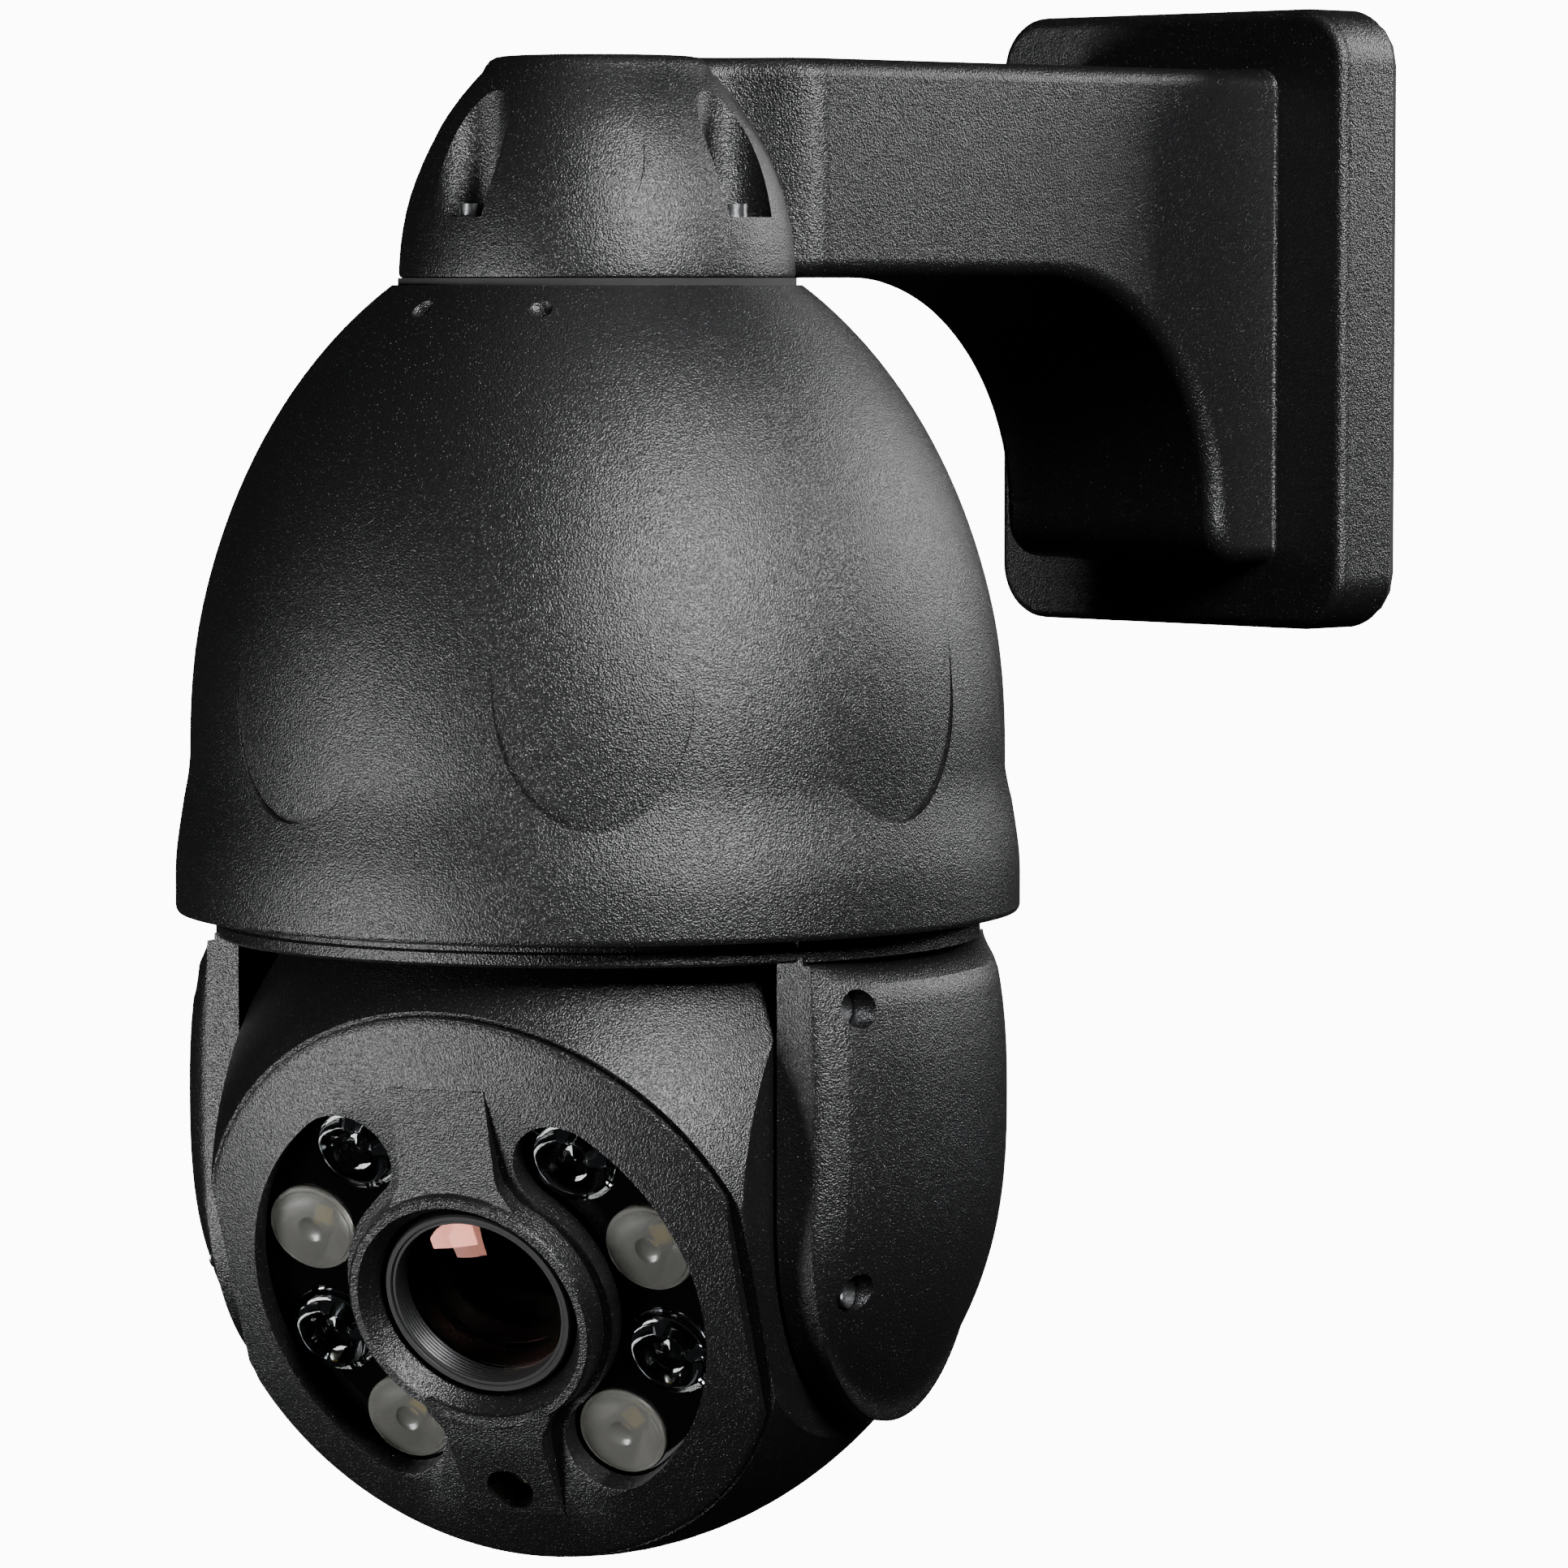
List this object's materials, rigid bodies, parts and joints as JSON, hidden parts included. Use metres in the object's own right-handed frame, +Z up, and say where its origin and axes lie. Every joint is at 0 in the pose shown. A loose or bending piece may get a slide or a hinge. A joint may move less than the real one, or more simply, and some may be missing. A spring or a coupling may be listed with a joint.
{
  "type": "ptz camera",
  "caption": "Outdoor pan, tilt and zoom dome camera on a cast wall arm, with a ring of infrared and white light lenses round its zoom lens.",
  "frame": {"origin": "centre of the back of the wall plate, on the wall", "axes": "+Y into the wall, +Z up, +X to the right when facing the wall"},
  "size_m": [0.156, 0.251, 0.2875],
  "materials": {
    "cast_black": "die-cast aluminium with a fine textured black powder coat",
    "black_plastic": "moulded black plastic, matt",
    "gloss_black": "black acrylic, polished",
    "black_rubber": "moulded black rubber",
    "steel_sheet": "zinc-plated pressed steel",
    "steel_screw": "stainless steel",
    "aluminium": "machined aluminium",
    "motor_black": "motor case, black",
    "brass": "turned brass",
    "circuit_board": "glass-epoxy board with solder mask",
    "lens_glass": "coated optical glass",
    "clear_acrylic": "clear moulded acrylic",
    "frosted_acrylic": "satin moulded acrylic",
    "led_yellow": "LED phosphor",
    "cream_plastic": "cream moulded plastic"
  },
  "bodies": {
    "bracket": {"wall_bracket": "cast_black", "mounting_plate": "steel_sheet", "wall_gasket": "black_rubber", "plate_lock_screws": "steel_screw", "neck_screws": "steel_screw", "neck_gasket": "black_rubber", "dome_housing": "cast_black", "base_ring": "black_plastic", "chassis_plate": "aluminium", "chassis_screws": "steel_screw", "board_spacers": "brass", "main_board": "circuit_board", "pan_motor": "motor_black", "pan_belt": "black_rubber", "pan_bearing_outer": "steel_screw", "pan_bearing_balls": "steel_screw", "slip_ring_stator": "black_plastic", "slip_ring_bracket": "aluminium"},
    "pan_drive": {"pan_motor_pulley": "aluminium"},
    "yoke": {"yoke_frame": "cast_black", "left_arm_cover": "cast_black", "right_arm_cover": "cast_black", "arm_cover_screws": "steel_screw", "pan_shaft": "aluminium", "pan_shaft_nut": "steel_screw", "pan_pulley": "aluminium", "pan_bearing_inner": "steel_screw", "slip_ring_rotor": "brass", "tilt_bushes": "brass", "tilt_motor": "motor_black", "tilt_belt": "black_rubber"},
    "tilt_drive": {"tilt_motor_pulley": "aluminium"},
    "ball": {"ball_housing": "cast_black", "face_gasket": "black_rubber", "face_plate": "cast_black", "face_screws": "steel_screw", "led_mask": "gloss_black", "ir_lenses": "clear_acrylic", "ir_lens_holders": "clear_acrylic", "white_lenses": "frosted_acrylic", "led_board": "circuit_board", "led_chips": "led_yellow", "led_heat_sink": "aluminium", "zoom_body": "black_plastic", "zoom_barrel": "black_plastic", "lens_baffle": "black_plastic", "front_lens": "lens_glass", "guide_rods": "steel_screw", "iris_plate": "black_plastic", "sensor_board": "circuit_board", "module_bracket": "aluminium", "photocell": "cream_plastic", "tilt_shafts": "steel_screw", "tilt_pulley": "aluminium"},
    "zoom_group": {"zoom_cell": "black_plastic", "zoom_glass": "lens_glass"},
    "focus_group": {"focus_cell": "black_plastic", "focus_glass": "lens_glass"},
    "ir_filter": {"ir_cut_filter": "lens_glass"}
  },
  "joints": [
    {"name": "pan", "type": "hinge", "parent": "bracket", "child": "yoke", "pos_m": [0, -0.173, -0.09], "axis": [0, 0, 1], "continuous": true},
    {"name": "pan_motor_spin", "type": "hinge", "parent": "bracket", "child": "pan_drive", "pos_m": [0, -0.1335, -0.06], "axis": [0, 0, 1], "continuous": true},
    {"name": "tilt", "type": "hinge", "parent": "yoke", "child": "ball", "pos_m": [0, -0.173, -0.1545], "axis": [0.9323, 0.3616, 0], "range_deg": [-22.2, 67.8]},
    {"name": "tilt_motor_spin", "type": "hinge", "parent": "yoke", "child": "tilt_drive", "pos_m": [0, -0.173, -0.1265], "axis": [0.9323, 0.3616, 0], "range_deg": [-88.8, 271.2]},
    {"name": "zoom", "type": "slide", "parent": "ball", "child": "zoom_group", "axis": [0.3348, -0.8632, -0.3778], "range_m": [-0.006, 0.01]},
    {"name": "focus", "type": "slide", "parent": "ball", "child": "focus_group", "axis": [0.3348, -0.8632, -0.3778], "range_m": [-0.005, 0.0035]},
    {"name": "ir_filter_switch", "type": "slide", "parent": "ball", "child": "ir_filter", "axis": [0.9323, 0.3616, 0], "range_m": [0, 0.009]}
  ],
  "couplings": [
    {"joint": "pan_motor_spin", "follows": "pan", "ratio": 3},
    {"joint": "tilt_motor_spin", "follows": "tilt", "ratio": 4}
  ]
}
